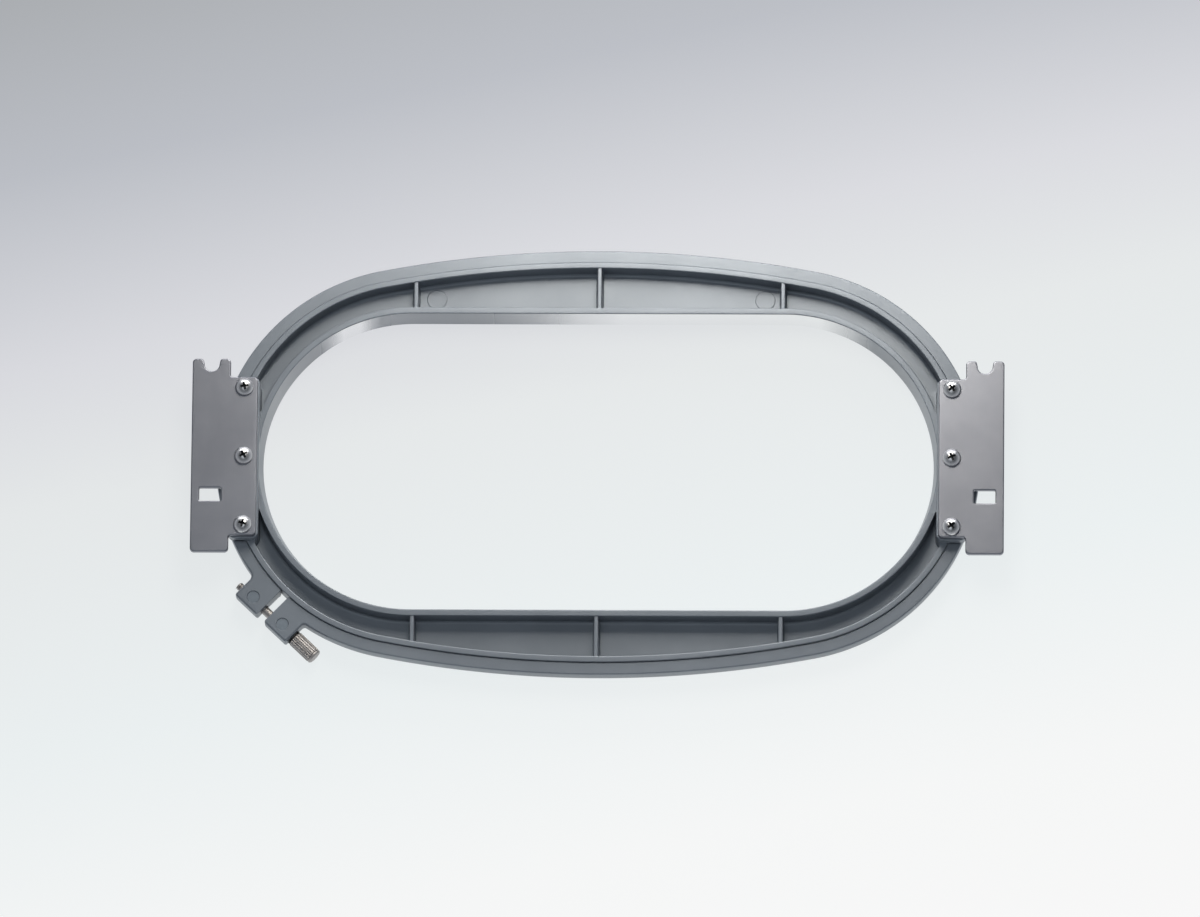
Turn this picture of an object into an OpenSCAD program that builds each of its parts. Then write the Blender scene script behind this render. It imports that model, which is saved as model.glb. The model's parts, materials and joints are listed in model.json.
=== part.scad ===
// Machine embroidery hoop: a split outer ring with a tension screw, and an inner
// channel ring that carries two steel arms. It lies flat, with its arms on top.

/* [Sewing field] */
// Length of the opening in the inner ring, along X, at its upper edge
field_w = 301; // [250:1:360]
// Width of the opening in the inner ring, along Y, at its upper edge
field_h = 136; // [110:1:160]
// How much each side of the opening narrows from its upper edge to its foot
field_draft = 1.8; // [0.4:0.1:2.4]

/* [Outer ring] */
// Width of both rings together at the round ends
end_band_w = 18.8; // [17:0.1:22]
// How much larger the radius of the ring's ends is than the opening's
end_grow_r = 21.7; // [19:0.1:24]
// How far the long sides bulge out past the radius of the ends
crown_h = 7.7; // [5:0.1:12]
// Wall of the outer ring, seen from above
ring_t = 5.1; // [4.4:0.1:5.6]
// Height of the outer ring
ring_z = 10.6; // [9:0.1:10.8]
// Gap between the two rings
ring_gap = 0.45; // [0.35:0.05:0.6]

/* [Inner ring] */
// Height of the inner ring
inner_z = 11.5; // [11.2:0.1:13]
// Thickness of the floor of the channel
floor_t = 2; // [1.6:0.1:3]
// Wall between the channel and the opening
field_wall_t = 2.9; // [2:0.1:3.2]
// Wall between the channel and the outer ring
fit_wall_t = 2.7; // [2:0.1:3.2]
// Thickness of the ribs across the channel
rib_t = 1.9; // [1.4:0.1:2.6]
// Distance of the outer ribs from the middle
rib_pitch = 81.5; // [70:0.5:95]
// How far the ribs lie below the upper face
rib_drop = 0.4; // [0.2:0.1:1.5]

/* [Arm pads] */
// Height of the pads above the inner ring
pad_rise = 5; // [4.6:0.1:7]
// Width of a pad along X
pad_w = 13.4; // [12.4:0.1:14.4]
// Step from the ends of the arm's seat to the ends of its pad
pad_end_l = 0.7; // [0.5:0.1:4]
// Corner radius of a pad
pad_r = 3; // [1.5:0.1:4]
// Lip of a pad over the edge of the opening
pad_lip = 0.4; // [0.2:0.1:1]
// Air between a pad and the outer ring below it
pad_air = 0.4; // [0.3:0.1:0.6]

/* [Arms] */
// Distance from the end of the opening to the outer edge of an arm
arm_out_l = 29.5; // [27:0.1:34]
// Thickness of the steel arms
arm_t = 2.5; // [2:0.1:3.5]
// Distance from an outer arm screw to the end of the arm's seat
seat_end_l = 4.8; // [4.2:0.1:7]
// Step from the edge of the pad to the edge of the arm
arm_setback = 0.8; // [0.4:0.1:1.2]
// How far the outer tab stands past the arm's seat at its plain end
tab_end_l = 7.6; // [6.6:0.1:12]
// How far the outer tab stands past the arm's seat at its notched end
notch_end_l = 8.4; // [6.6:0.1:12]
// Width of the outer tab
tab_w = 17; // [16.4:0.1:18]
// Corner radius of the arms
arm_r = 1.8; // [1:0.1:2.4]
// Width of the round notch
notch_w = 6.6; // [5:0.1:7.4]
// Depth of the round notch
notch_d = 5.8; // [4.6:0.1:7]
// Lead in at the mouth of the notch
notch_lead = 0.5; // [0.3:0.1:0.8]
// Distance of the notch and the slot from the outer edge of the arm
holder_setback = 8.6; // [8:0.1:9.2]
// Length of the rectangular slot along X
slot_w = 9.6; // [8:0.1:11]
// Width of the rectangular slot along Y
slot_h = 6.1; // [5:0.1:7.4]
// Distance of the slot from the middle, along -Y
slot_y = 17.6; // [15:0.1:20]
// Corner radius of the slot
slot_r = 0.6; // [0.4:0.1:1]

/* [Arm screws] */
// Thread diameter of the arm screws
screw_d = 4; // [3.5:0.1:4.4]
// Distance between neighbouring arm screws
screw_pitch = 31.5; // [28:0.1:33]
// Diameter of the screw heads
head_d = 8; // [7:0.1:9]
// Height of the screw heads
head_h = 3.1; // [2.6:0.1:3.6]
// Width over the cross recess
cross_w = 4.4; // [3.4:0.1:4.8]
// Width of one slot of the cross recess
cross_t = 0.9; // [0.6:0.1:1.2]
// Depth of the cross recess
cross_d = 1.9; // [1:0.1:2.2]
// Outer diameter of the threaded inserts
insert_d = 5.8; // [5.4:0.1:6.6]
// Length of the threaded inserts
insert_l = 5.5; // [4:0.1:5.6]

/* [Tension clamp] */
// Place of the split: angle below -X about the centre of the left end
clamp_a = 46.2; // [42:0.1:50]
// Width of the split
split_w = 4.5; // [3:0.1:6]
// Length of each lug along the screw
lug_l = 13.5; // [12:0.1:15]
// Wall of the lugs outside the screw's axis
lug_out = 5; // [4.6:0.1:6.4]
// Distance of the screw's axis from the outer face of the ring
clamp_out = 5.3; // [4.8:0.1:6]
// Corner radius of the lugs
lug_r = 1.2; // [0.6:0.1:2]
// Diameter of the barrels in the lugs
barrel_d = 7; // [6.4:0.1:7.4]
// Diameter of the visible end of a barrel
spigot_d = 5.3; // [4.6:0.1:5.8]
// Skin of the lug over a barrel's shoulder
barrel_skin = 1.6; // [1.3:0.1:1.9]
// Depth of the visible end of a barrel below the lug's face
barrel_recess = 0.4; // [0.2:0.1:0.8]
// Thread diameter of the tension screw
tension_d = 4; // [3.4:0.1:4.2]
// Length of the tension screw's tip past its lug
tip_l = 2.8; // [0.8:0.1:4]
// Diameter of the knurled knob
knob_d = 7.2; // [6.6:0.1:8.4]
// Length of the knurled knob
knob_l = 12.7; // [9:0.1:16]
// Chamfer of the knob's ends
knob_chamfer = 0.6; // [0.3:0.1:0.9]
// Number of knurl grooves
knurl_count = 18; // [14:1:30]
// Radius of one knurl groove
knurl_r = 0.35; // [0.15:0.01:0.4]
// Thickness of the washer under the knob
washer_t = 0.5; // [0.4:0.1:1.4]
// Outer diameter of the washer
washer_d = 6.8; // [6:0.1:8]

/* [Hidden] */

// Finenesses of small rounds, ring ends and crowns
$fn = 64;
end_fn = 240;
crown_fn = 1440;

// One overrun for all cuts, and the clearances of the fits
overrun = 1;
thread_clear = 0.05;
insert_clear = 0.02;
hole_clear = 0.3;
barrel_clear = 0.05;
face_clear = 0.05;

// The outer outline has two ends and two crowns. The crowns would meet the ends
// in line if they stood out further by crown_drop, so they cross them cleanly
crown_drop = 0.1;
ring_w = field_w + 2 * end_band_w;
ring_end_r = field_h / 2 + end_grow_r;
ring_h = 2 * (ring_end_r + crown_h);
end_x = ring_w / 2 - ring_end_r;
half_h = ring_h / 2;
line_h = half_h + crown_drop;
line_r = (end_x * end_x + line_h * line_h - ring_end_r * ring_end_r) / (2 * (line_h - ring_end_r));
crown_y = line_r - line_h;
crown_r = line_r - crown_drop;
crown_reach_y = half_h + overrun;
crown_reach_x = end_x * (1 + crown_reach_y / crown_y);

// Insets of the outline for the faces of both rings
fit_inset = ring_t + ring_gap;
channel_inset = fit_inset + fit_wall_t;

// The opening is a straight stretch between two round ends
field_r = field_h / 2;
field_x = (field_w - field_h) / 2;

// Pads and arms, measured along X from the middle
pad_in = field_w / 2 - pad_lip;
pad_x = pad_in + pad_w / 2;
pad_z = inner_z + pad_rise;
pad_under_z = ring_z + pad_air;
arm_in = pad_in + arm_setback;
arm_out = field_w / 2 + arm_out_l;
arm_seat_l = 2 * (screw_pitch + seat_end_l);
pad_l = arm_seat_l + 2 * pad_end_l;
tab_l = arm_seat_l + tab_end_l + notch_end_l;
tab_top_y = arm_seat_l / 2 + notch_end_l;
screw_l = arm_t + insert_l;
tab_in = arm_out - tab_w;
holder_x = arm_out - holder_setback;
insert_room = hole_clear;
head_wall_share = 0.3;

// The clamp, measured from the screw's axis and the middle of the split
axis_r = ring_end_r + clamp_out;
axis_z = ring_z / 2;
barrel_y = split_w / 2 + lug_l / 2;
lug_end = split_w / 2 + lug_l;
shoulder_z = ring_z - barrel_skin;
washer_y = lug_end + face_clear;
knob_y = washer_y + washer_t + face_clear;

// Outline of the outer ring, drawn in by a distance
module oval(inset) {
    square([2 * end_x, ring_end_r], center = true);
    for (side = [-1, 1]) {
        translate([side * end_x, 0])
            circle(r = ring_end_r - inset, $fn = end_fn);
        intersection() {
            translate([0, -side * crown_y])
                circle(r = crown_r - inset, $fn = crown_fn);
            polygon([[-end_x, 0], [end_x, 0],
                [crown_reach_x, side * crown_reach_y], [-crown_reach_x, side * crown_reach_y]]);
        }
    }
}

// Outline of the opening, grown by a distance
module field(grow) {
    square([2 * field_x, 2 * (field_r + grow)], center = true);
    for (side = [-1, 1])
        translate([side * field_x, 0])
            circle(r = field_r + grow, $fn = end_fn);
}

// Plate with round corners, from its lowest corner
module round_plate(size, r) {
    translate([r, 0])
        square([size.x - 2 * r, size.y]);
    translate([0, r])
        square([size.x, size.y - 2 * r]);
    for (x = [r, size.x - r], y = [r, size.y - r])
        translate([x, y])
            circle(r = r);
}

// Cut of the opening, narrower at its foot
module field_cut() {
    slope = field_draft / inner_z;
    foot = -field_draft - slope * overrun;
    head = slope * overrun;
    for (side = [-1, 1])
        translate([side * field_x, 0, -overrun])
            cylinder(h = inner_z + 2 * overrun, r1 = field_r + foot, r2 = field_r + head, $fn = end_fn);
    rotate([90, 0, 90])
        translate([0, 0, -field_x])
            linear_extrude(2 * field_x)
                polygon([[-field_r - foot, -overrun], [field_r + foot, -overrun],
                    [field_r + head, inner_z + overrun], [-field_r - head, inner_z + overrun]]);
}

// Puts its children at a screw of an arm: side is -1 or 1, row is -1, 0 or 1
module at_screw(side, row, z) {
    translate([side * pad_x, row * screw_pitch, z])
        children();
}

// Puts its children on the clamp: X is outwards, Y along the screw to the knob
module at_clamp() {
    translate([-end_x, 0, 0])
        rotate([0, 0, 180 + clamp_a])
            translate([axis_r, 0, 0])
                children();
}

// Turns its children from Z to the screw's axis, at a place along it
module along_axis(y) {
    translate([0, y, axis_z])
        rotate([-90, 0, 0])
            children();
}

// Outline of the channel, before its ribs
module channel_outline() {
    difference() {
        oval(channel_inset);
        field(field_wall_t);
    }
}

// Ribs that cross the channel at three places
module ribs() {
    for (x = [-rib_pitch, 0, rib_pitch])
        translate([x - rib_t / 2, -half_h])
            square([rib_t, ring_h]);
}

// Pad outline on one side
module pad_outline(side) {
    mirror([side < 0 ? 1 : 0, 0])
        translate([pad_in, -pad_l / 2])
            round_plate([pad_w, pad_l], pad_r);
}

// One pad, from the floor of the channel up
module pad(side) {
    translate([0, 0, inner_z])
        linear_extrude(pad_rise)
            pad_outline(side);
    difference() {
        union() {
            linear_extrude(inner_z)
                intersection() {
                    pad_outline(side);
                    oval(fit_inset);
                }
            translate([0, 0, pad_under_z])
                linear_extrude(inner_z - pad_under_z)
                    pad_outline(side);
        }
        field_cut();
    }
}

// Ring with its channel, ribs and opening
module channel_ring() {
    difference() {
        linear_extrude(inner_z)
            oval(fit_inset);
        field_cut();
        translate([0, 0, floor_t])
            linear_extrude(inner_z)
                difference() {
                    channel_outline();
                    ribs();
                }
        translate([0, 0, inner_z - rib_drop])
            linear_extrude(inner_z)
                channel_outline();
    }
}

// Inner ring: the channel with a pad at each end, and holes for the inserts
module inner_ring() {
    color("slategray")
        difference() {
            union() {
                channel_ring();
                for (side = [-1, 1])
                    pad(side);
            }
            for (side = [-1, 1], row = [-1, 0, 1])
                at_screw(side, row, pad_z - insert_l - insert_room)
                    cylinder(h = insert_l + insert_room + overrun, d = insert_d + 2 * insert_clear);
        }
}

// Outline of both lugs, before the split is cut
module lug_outline() {
    translate([-clamp_out - ring_t / 2, -lug_end])
        round_plate([clamp_out + ring_t / 2 + lug_out, 2 * lug_end], lug_r);
}

// Outer ring: a split ring with two lugs
module outer_ring() {
    color("slategray")
        difference() {
            linear_extrude(ring_z)
                difference() {
                    union() {
                        oval(0);
                        at_clamp()
                            lug_outline();
                    }
                    oval(ring_t);
                }
            at_clamp() {
                translate([-axis_r / 2, -split_w / 2, -overrun])
                    cube([axis_r, split_w, ring_z + 2 * overrun]);
                along_axis(-lug_end - overrun)
                    cylinder(h = 2 * (lug_end + overrun), d = tension_d + 2 * hole_clear);
                for (side = [-1, 1])
                    translate([0, side * barrel_y, -overrun]) {
                        cylinder(h = shoulder_z + overrun, d = barrel_d + 2 * barrel_clear);
                        cylinder(h = ring_z + 2 * overrun, d = spigot_d + 2 * barrel_clear);
                    }
            }
        }
}

// Outline of an arm with its notch, slot and screw holes
module arm_outline() {
    difference() {
        union() {
            translate([arm_in, -arm_seat_l / 2])
                round_plate([tab_in - arm_in + tab_w / 2, arm_seat_l], arm_r);
            translate([tab_in, tab_top_y - tab_l])
                round_plate([tab_w, tab_l], arm_r);
        }
        translate([holder_x, tab_top_y]) {
            translate([0, notch_w / 2 - notch_d])
                circle(d = notch_w);
            translate([-notch_w / 2, notch_w / 2 - notch_d])
                square([notch_w, notch_d]);
            polygon([[-notch_w / 2, -notch_d / 2], [notch_w / 2, -notch_d / 2],
                [notch_w / 2 + notch_lead, 0], [notch_w / 2 + notch_lead, overrun],
                [-notch_w / 2 - notch_lead, overrun], [-notch_w / 2 - notch_lead, 0]]);
        }
        translate([holder_x - slot_w / 2, -slot_y - slot_h / 2])
            round_plate([slot_w, slot_h], slot_r);
        for (row = [-1, 0, 1])
            translate([pad_x, row * screw_pitch])
                circle(d = screw_d + 2 * hole_clear);
    }
}

// Steel arm on one side
module arm(side) {
    color("silver")
        translate([0, 0, pad_z])
            linear_extrude(arm_t)
                mirror([side < 0 ? 1 : 0, 0])
                    arm_outline();
}

// Arm screw with a domed head and a cross recess
module arm_screw(side, row) {
    cap_h = head_h * (1 - head_wall_share);
    cap_r = (head_d * head_d / 4 + cap_h * cap_h) / (2 * cap_h);
    color("gainsboro")
        at_screw(side, row, pad_z + arm_t) {
            difference() {
                intersection() {
                    cylinder(h = head_h + overrun, d = head_d);
                    translate([0, 0, head_h - cap_r])
                        sphere(r = cap_r);
                }
                translate([0, 0, head_h - cross_d])
                    for (turn = [45, 135])
                        rotate([0, 0, turn])
                            translate([-cross_w / 2, -cross_t / 2, 0])
                                cube([cross_w, cross_t, cross_d + overrun]);
            }
            translate([0, 0, -screw_l])
                cylinder(h = screw_l, d = screw_d);
        }
}

// Threaded insert in a pad
module insert(side, row) {
    color("goldenrod")
        at_screw(side, row, pad_z - insert_l)
            difference() {
                cylinder(h = insert_l, d = insert_d);
                translate([0, 0, -overrun])
                    cylinder(h = insert_l + 2 * overrun, d = screw_d + 2 * thread_clear);
            }
}

// Tension screw and its knurled knob, turned from one piece
module tension_screw() {
    shank_l = lug_end + tip_l + knob_y;
    color("lightgray")
        at_clamp()
            along_axis(-lug_end - tip_l) {
                cylinder(h = shank_l, d = tension_d);
                translate([0, 0, shank_l])
                    knob();
            }
}

// Knurled knob with chamfered ends, from its shoulder outwards
module knob() {
    difference() {
        rotate_extrude()
            polygon([[0, 0], [knob_d / 2 - knob_chamfer, 0], [knob_d / 2, knob_chamfer],
                [knob_d / 2, knob_l - knob_chamfer], [knob_d / 2 - knob_chamfer, knob_l], [0, knob_l]]);
        for (i = [0 : knurl_count - 1])
            rotate([0, 0, i * 360 / knurl_count])
                translate([knob_d / 2, 0, -overrun])
                    cylinder(h = knob_l - 2 * knob_chamfer + overrun, r = knurl_r, $fn = 16);
    }
}

// Washer between the knob and its lug
module thrust_washer() {
    color("dimgray")
        at_clamp()
            along_axis(washer_y)
                difference() {
                    cylinder(h = washer_t, d = washer_d);
                    translate([0, 0, -overrun])
                        cylinder(h = washer_t + 2 * overrun, d = tension_d + 2 * thread_clear);
                }
}

// Barrel in a lug, with a cross bore for the tension screw
module barrel(side, bore_clear) {
    foot_z = barrel_recess;
    color("darkgray")
        at_clamp()
            difference() {
                translate([0, side * barrel_y, foot_z]) {
                    cylinder(h = shoulder_z - barrel_clear - foot_z, d = barrel_d);
                    cylinder(h = ring_z - barrel_recess - foot_z, d = spigot_d);
                }
                along_axis(side * barrel_y - barrel_d)
                    cylinder(h = 2 * barrel_d, d = tension_d + 2 * bore_clear);
            }
}

outer_ring();
inner_ring();
arm(-1);  // left_arm
arm(1);  // right_arm
arm_screw(-1, 1);  // left_arm_screw_top
arm_screw(-1, 0);  // left_arm_screw_middle
arm_screw(-1, -1);  // left_arm_screw_bottom
arm_screw(1, 1);  // right_arm_screw_top
arm_screw(1, 0);  // right_arm_screw_middle
arm_screw(1, -1);  // right_arm_screw_bottom
insert(-1, 1);  // left_insert_top
insert(-1, 0);  // left_insert_middle
insert(-1, -1);  // left_insert_bottom
insert(1, 1);  // right_insert_top
insert(1, 0);  // right_insert_middle
insert(1, -1);  // right_insert_bottom
tension_screw();
thrust_washer();
barrel(-1, thread_clear);  // barrel_nut
barrel(1, thread_clear);  // pivot_barrel
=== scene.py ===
"""Machine embroidery hoop: moulded rings, steel arms and a knurled tension screw.

Every length is in millimetres until a mesh is made, and in metres from there on.
"""
import json
import logging
import math
from collections.abc import Callable, Iterable, Sequence
from dataclasses import dataclass, field, replace
from enum import Enum
from typing import Any

import bmesh
import bpy
import numpy as np
from mathutils import Matrix, Vector
from mathutils.geometry import delaunay_2d_cdt

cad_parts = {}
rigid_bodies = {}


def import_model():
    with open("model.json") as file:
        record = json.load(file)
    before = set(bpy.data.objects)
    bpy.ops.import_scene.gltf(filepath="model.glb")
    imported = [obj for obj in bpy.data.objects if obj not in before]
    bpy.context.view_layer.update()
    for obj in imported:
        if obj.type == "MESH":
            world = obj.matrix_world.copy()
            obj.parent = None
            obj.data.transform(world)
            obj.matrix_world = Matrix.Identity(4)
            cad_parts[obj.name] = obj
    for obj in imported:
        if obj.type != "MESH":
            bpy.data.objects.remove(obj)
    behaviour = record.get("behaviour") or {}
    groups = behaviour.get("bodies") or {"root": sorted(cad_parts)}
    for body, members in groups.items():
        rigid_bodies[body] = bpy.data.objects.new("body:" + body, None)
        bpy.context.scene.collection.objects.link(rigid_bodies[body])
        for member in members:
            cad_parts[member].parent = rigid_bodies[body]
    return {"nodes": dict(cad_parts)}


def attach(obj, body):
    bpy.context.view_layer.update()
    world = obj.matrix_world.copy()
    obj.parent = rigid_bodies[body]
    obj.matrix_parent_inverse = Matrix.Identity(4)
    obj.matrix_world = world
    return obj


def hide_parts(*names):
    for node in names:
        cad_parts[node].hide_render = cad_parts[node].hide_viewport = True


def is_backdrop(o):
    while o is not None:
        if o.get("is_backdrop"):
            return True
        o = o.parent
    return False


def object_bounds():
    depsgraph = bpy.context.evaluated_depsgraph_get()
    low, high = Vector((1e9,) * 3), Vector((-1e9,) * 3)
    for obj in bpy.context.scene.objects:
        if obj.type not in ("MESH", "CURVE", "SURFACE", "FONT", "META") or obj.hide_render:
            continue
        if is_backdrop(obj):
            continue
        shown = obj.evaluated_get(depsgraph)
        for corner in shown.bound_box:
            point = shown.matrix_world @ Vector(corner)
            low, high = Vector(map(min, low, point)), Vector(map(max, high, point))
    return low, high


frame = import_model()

MM = 0.001
LOG = logging.getLogger("hoop")
# An outline turns by more than this at a corner that gets rounded
CORNER_DEG = 18.0
# Edges that turn by more than this stay sharp
SMOOTH_DEG = 34.0
# Chords of a rounded corner
FILLET_STEPS = 6
# Points of outlines that lie closer, in mm, are one
WELD = 1e-5

Outline = np.ndarray
Point = tuple[float, float]
Profile = Sequence[Point]
Place = tuple[float, float, float]
Colour = tuple[float, float, float, float]
Socket = bpy.types.NodeSocket


# Finishes

def linear(code: str) -> Colour:
    """Turns an sRGB hex colour into linear RGBA.

    Args:
        code: Six hex digits after a hash sign.

    Returns:
        Linear red, green and blue, and an alpha of 1.
    """
    parts = [int(code[i:i + 2], 16) / 255 for i in (1, 3, 5)]
    return tuple(c / 12.92 if c <= 0.04045 else ((c + 0.055) / 1.055) ** 2.4 for c in parts) + (1.0,)


def result(node: bpy.types.Node) -> Socket:
    """Returns the first output that a node has with its present settings."""
    return next(output for output in node.outputs if output.enabled)


def add_node(tree: bpy.types.NodeTree, kind: str, inputs: dict[Any, Any] | Sequence[Any] = (),
             **settings: Any) -> bpy.types.Node:
    """Adds a node with its settings, values and links.

    Args:
        tree: Node tree that gets the node.
        kind: Type name of the node.
        inputs: Value of each input, by its name or number, or in order. A socket or node is linked.
        **settings: Properties of the node.

    Returns:
        The new node.
    """
    node = tree.nodes.new(kind)
    for name, value in settings.items():
        setattr(node, name, value)
    for key, value in inputs.items() if isinstance(inputs, dict) else enumerate(inputs):
        if isinstance(value, bpy.types.Node):
            tree.links.new(result(value), node.inputs[key])
        elif isinstance(value, Socket):
            tree.links.new(value, node.inputs[key])
        else:
            node.inputs[key].default_value = value
    return node


def set_stops(ramp: bpy.types.Node, stops: Sequence[tuple[float, Colour]]) -> bpy.types.Node:
    """Gives a colour ramp its stops: places from 0 to 1 with linear colours."""
    elements = ramp.color_ramp.elements
    while len(elements) < len(stops):
        elements.new(0.5)
    for element, (position, colour) in zip(elements, stops):
        element.position, element.color = position, colour
    return ramp


@dataclass(frozen=True)
class Finish:
    """A surface finish, made as a procedural material on Object coordinates.

    Attributes:
        name: Name of the material.
        light: Colour of its paler patches.
        dark: Colour of its darker patches.
        metallic: 1 for bare metal, 0 for plastic.
        roughness: Mean roughness.
        spread: How far roughness wanders about its mean.
        patch: Size of the soft patches of colour, in mm.
        grain: Size of the surface texture along X, Y and Z, in mm.
        depth: Height of the texture, in mm.
        ior: Index of refraction, for plastics.
    """

    name: str
    light: str
    dark: str
    metallic: float = 0.0
    roughness: float = 0.4
    spread: float = 0.05
    patch: float = 30.0
    grain: Place = (1.0, 1.0, 1.0)
    depth: float = 0.01
    ior: float = 1.5

    def material(self) -> bpy.types.Material:
        """Returns the finish's material, made at its first use."""
        found = bpy.data.materials.get(self.name)
        if found:
            return found
        material = bpy.data.materials.new(self.name)
        material.use_nodes = True
        tree = material.node_tree
        place = add_node(tree, "ShaderNodeTexCoord").outputs["Object"]
        patches = add_node(tree, "ShaderNodeTexNoise", {
            "Vector": place, "Scale": 1 / (self.patch * MM), "Detail": 3.0})
        tone = add_node(tree, "ShaderNodeMapRange", {"Value": patches, "From Min": 0.3, "From Max": 0.7})
        colour = add_node(tree, "ShaderNodeMix", {
            "Factor": tone, "A": linear(self.dark), "B": linear(self.light)}, data_type="RGBA")
        stretched = add_node(tree, "ShaderNodeMapping", {
            "Vector": place, "Scale": [1 / (size * MM) for size in self.grain]})
        texture = add_node(tree, "ShaderNodeTexNoise", {
            "Vector": stretched, "Scale": 1.0, "Detail": 4.0, "Roughness": 0.6})
        gloss = add_node(tree, "ShaderNodeMapRange", {
            "Value": texture, "From Min": 0.25, "From Max": 0.75,
            "To Min": self.roughness - self.spread, "To Max": self.roughness + self.spread})
        bump = add_node(tree, "ShaderNodeBump", {
            "Height": texture, "Strength": 1.0, "Distance": self.depth * MM})
        shader = tree.nodes["Principled BSDF"]
        shader.inputs["Metallic"].default_value = self.metallic
        if self.metallic < 1:
            shader.inputs["IOR"].default_value = self.ior
        for name, source in (("Base Color", colour), ("Roughness", gloss), ("Normal", bump)):
            tree.links.new(result(source), shader.inputs[name])
        return material


class Finishes(Enum):
    """Finishes of the hoop's pieces."""

    # Spark-eroded moulds leave ABS a fine satin skin. Its real 0.3 mm texture is drawn at 1.1 mm, so that it
    # shows. It is part metallic, for the glint of its grey pigment
    MOULDED_ABS = Finish("moulded_satin_abs", "#848b94", "#7a818a", metallic=0.35, roughness=0.34,
                         spread=0.05, patch=34, grain=(1.1, 1.1, 1.1), depth=0.012)
    # The same plastic, with a painted highlight on the opening's far wall: its colour turns near white there,
    # with more metal and less roughness
    MOULDED_ABS_CORE = replace(MOULDED_ABS, name="moulded_satin_abs_glossy_opening")
    # Rolled and tumbled stainless sheet: a soft mirror with a faint grain along its length
    SATIN_STAINLESS = Finish("satin_stainless_sheet", "#90929a", "#84868e", metallic=1, roughness=0.37,
                             spread=0.05, patch=26, grain=(0.5, 9, 2), depth=0.004)
    # Cold headed and polished stainless screws: bright, with faint marks of the die
    POLISHED_STAINLESS = Finish("polished_stainless_screw", "#dcdcdd", "#cfcfd2", metallic=1, roughness=0.3,
                                spread=0.05, patch=3, grain=(0.8, 0.8, 0.8), depth=0.002)
    # Painted shade: the cross recesses get a dark, rough finish for the shade inside them
    PUNCHED_RECESS = Finish("punched_dark_recess", "#56575a", "#48494c", metallic=0.6, roughness=0.6,
                            spread=0.06, patch=3, grain=(0.6, 0.6, 0.6), depth=0.004)
    # Turned brass under nickel plate: soft and slightly warm
    NICKEL_PLATE = Finish("nickel_plated_turning", "#bebab8", "#b2aeac", metallic=1, roughness=0.55,
                          spread=0.03, patch=4, grain=(0.6, 0.6, 0.6), depth=0.001)
    # Zinc die cast barrels: dull grey with a fine dry grain
    DULL_ZINC = Finish("dull_zinc_barrel", "#7d8690", "#707983", metallic=0.7, roughness=0.5,
                       spread=0.07, patch=3, grain=(0.5, 0.5, 0.5), depth=0.006)
    # Turned brass inserts with bright tool marks
    TURNED_BRASS = Finish("turned_brass_insert", "#d9b673", "#c7a25f", metallic=1, roughness=0.3,
                          spread=0.06, patch=3, grain=(2, 2, 0.3), depth=0.004)
    # Punched nylon washer: black and waxy
    BLACK_NYLON = Finish("black_nylon_washer", "#232425", "#1a1b1c", roughness=0.5, spread=0.06, patch=3,
                         grain=(0.6, 0.6, 0.6), depth=0.004, ior=1.53)


# Outlines, in mm

def arc(centre: Point, r: float, start: float, end: float, steps: int) -> Outline:
    """Returns the points of an arc.

    Args:
        centre: Centre of the arc.
        r: Radius.
        start: First angle, in degrees.
        end: Last angle, in degrees.
        steps: Number of chords.

    Returns:
        Points of shape (steps + 1, 2).
    """
    turn = np.radians(np.linspace(start, end, steps + 1))
    return np.column_stack([centre[0] + r * np.cos(turn), centre[1] + r * np.sin(turn)])


def circle(centre: Point, r: float, steps: int = 64) -> Outline:
    """Returns a closed circle of points, anticlockwise."""
    return arc(centre, r, 0, 360, steps)[:-1]


def rectangle(low: Point, high: Point, r: float = 0.0, steps: int = 8) -> Outline:
    """Returns a rectangle with round corners, anticlockwise.

    Args:
        low: Lowest corner.
        high: Highest corner.
        r: Corner radius.
        steps: Chords of one corner.

    Returns:
        Points of the closed outline.
    """
    centres = [((high[0] - r, low[1] + r), -90), ((high[0] - r, high[1] - r), 0),
               ((low[0] + r, high[1] - r), 90), ((low[0] + r, low[1] + r), 180)]
    if not r:
        return np.array([centre for centre, _ in centres])
    return np.vstack([arc(centre, r, start, start + 90, steps) for centre, start in centres])


def inside(points: np.ndarray, loop: Outline) -> np.ndarray:
    """Tells which points lie within an outline."""
    x, y = points[:, :1], points[:, 1:]
    (x0, y0), (x1, y1) = loop.T, np.roll(loop, -1, 0).T
    with np.errstate(divide="ignore", invalid="ignore"):
        crossed = ((y0 > y) != (y1 > y)) & (x < (x1 - x0) * (y - y0) / (y1 - y0) + x0)
    return crossed.sum(1) % 2 == 1


def split_region(adds: Sequence[Outline],
                 cuts: Sequence[Outline]) -> tuple[np.ndarray, list[list[int]], list[int]]:
    """Fills the area of some outlines without that of others with triangles.

    Args:
        adds: Anticlockwise outlines whose areas are joined.
        cuts: Anticlockwise outlines whose areas are taken away.

    Returns:
        Points, triangles, and for each point the number of the first given point that it comes from, or -1.
    """
    loops = list(adds) + list(cuts)
    points = np.vstack(loops)
    starts = np.cumsum([0] + [len(loop) for loop in loops])
    faces = [list(range(a, b)) for a, b in zip(starts, starts[1:])]
    out = delaunay_2d_cdt([Vector(p) for p in points], [], faces, 0, WELD, True)
    found = np.array([tuple(p) for p in out[0]])
    middles = found[np.array(out[2])].mean(1)
    kept = np.any([inside(middles, loop) for loop in adds], 0)
    for loop in cuts:
        kept &= ~inside(middles, loop)
    return found, [list(t) for t, keep in zip(out[2], kept) if keep], [s[0] if s else -1 for s in out[3]]


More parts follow.
